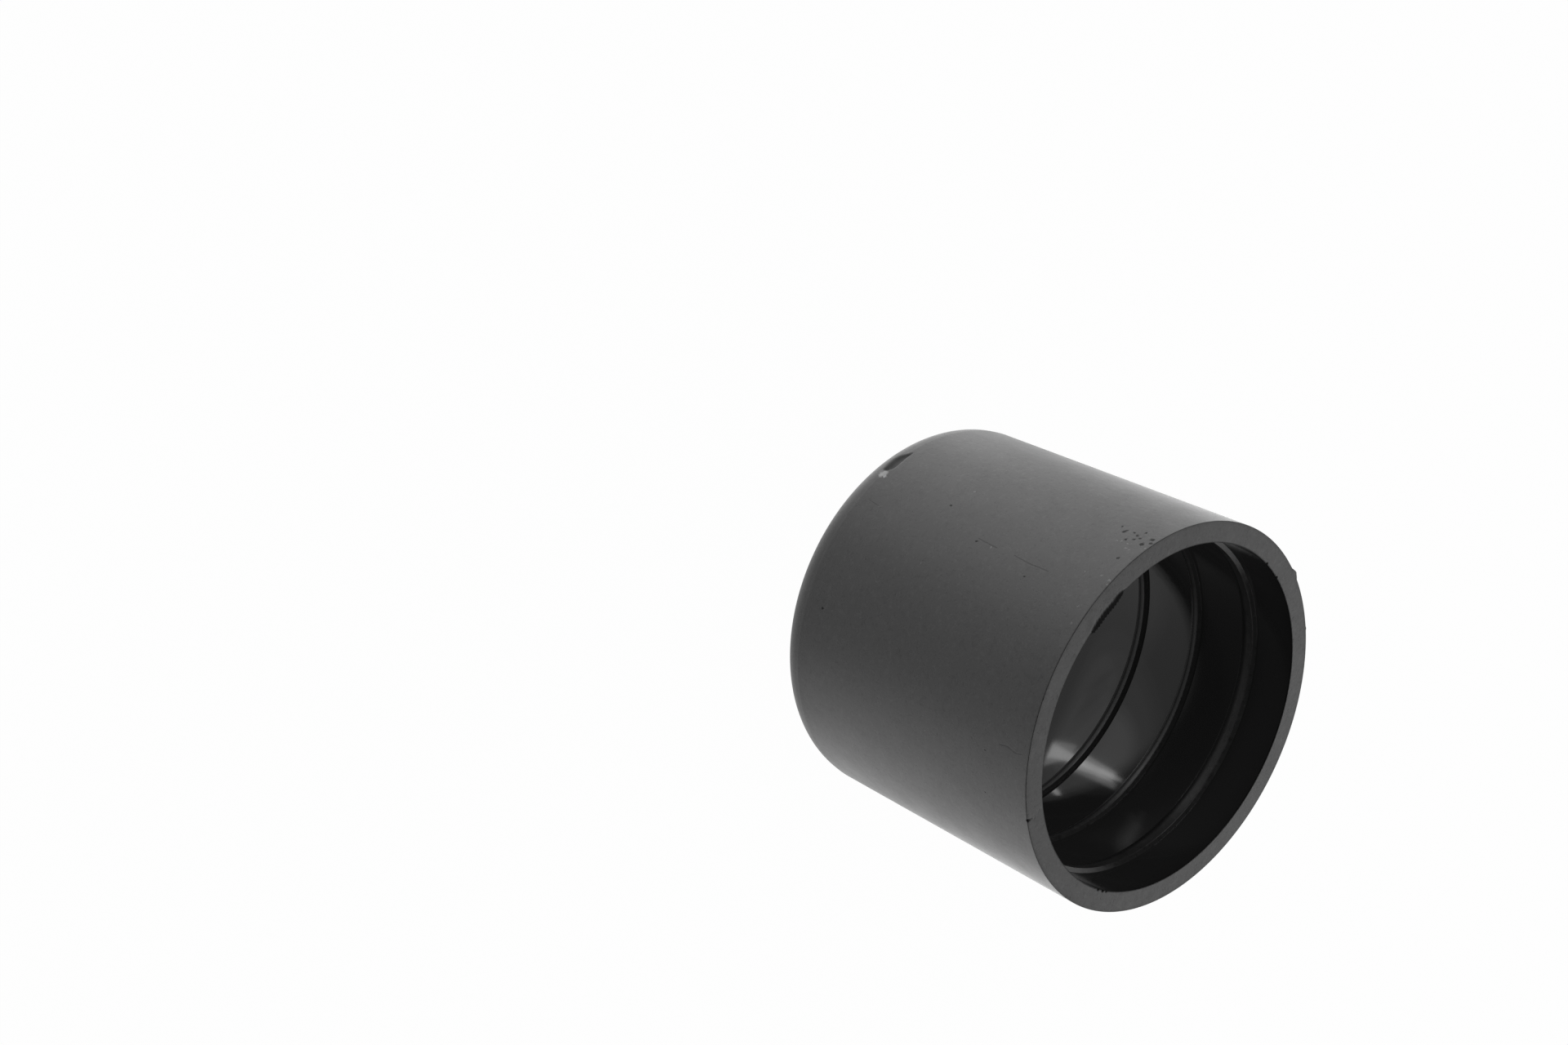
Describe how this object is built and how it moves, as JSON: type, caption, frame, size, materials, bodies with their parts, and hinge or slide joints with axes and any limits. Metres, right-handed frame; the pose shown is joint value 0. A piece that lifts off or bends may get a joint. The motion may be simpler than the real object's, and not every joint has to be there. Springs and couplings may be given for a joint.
{
  "type": "pipe cap",
  "caption": "One-piece push-on end cap for a round plastic pipe: thin cup with a rounded closed end, a flat rim and raised gripping ribs round the bore.",
  "frame": {"origin": "centre of the closed end's outer face, on which the cap stands", "axes": "+Z along the cap's axis, out of the open mouth; the side that the picture shows faces -Y"},
  "size_m": [0.0368, 0.0368, 0.0327],
  "materials": {
    "black_pvc": "fine spark-eroded matte outside and on the rim, polished core finish inside the bore"
  },
  "bodies": {
    "root": {"pipe_cap": "black_pvc"}
  },
  "joints": []
}
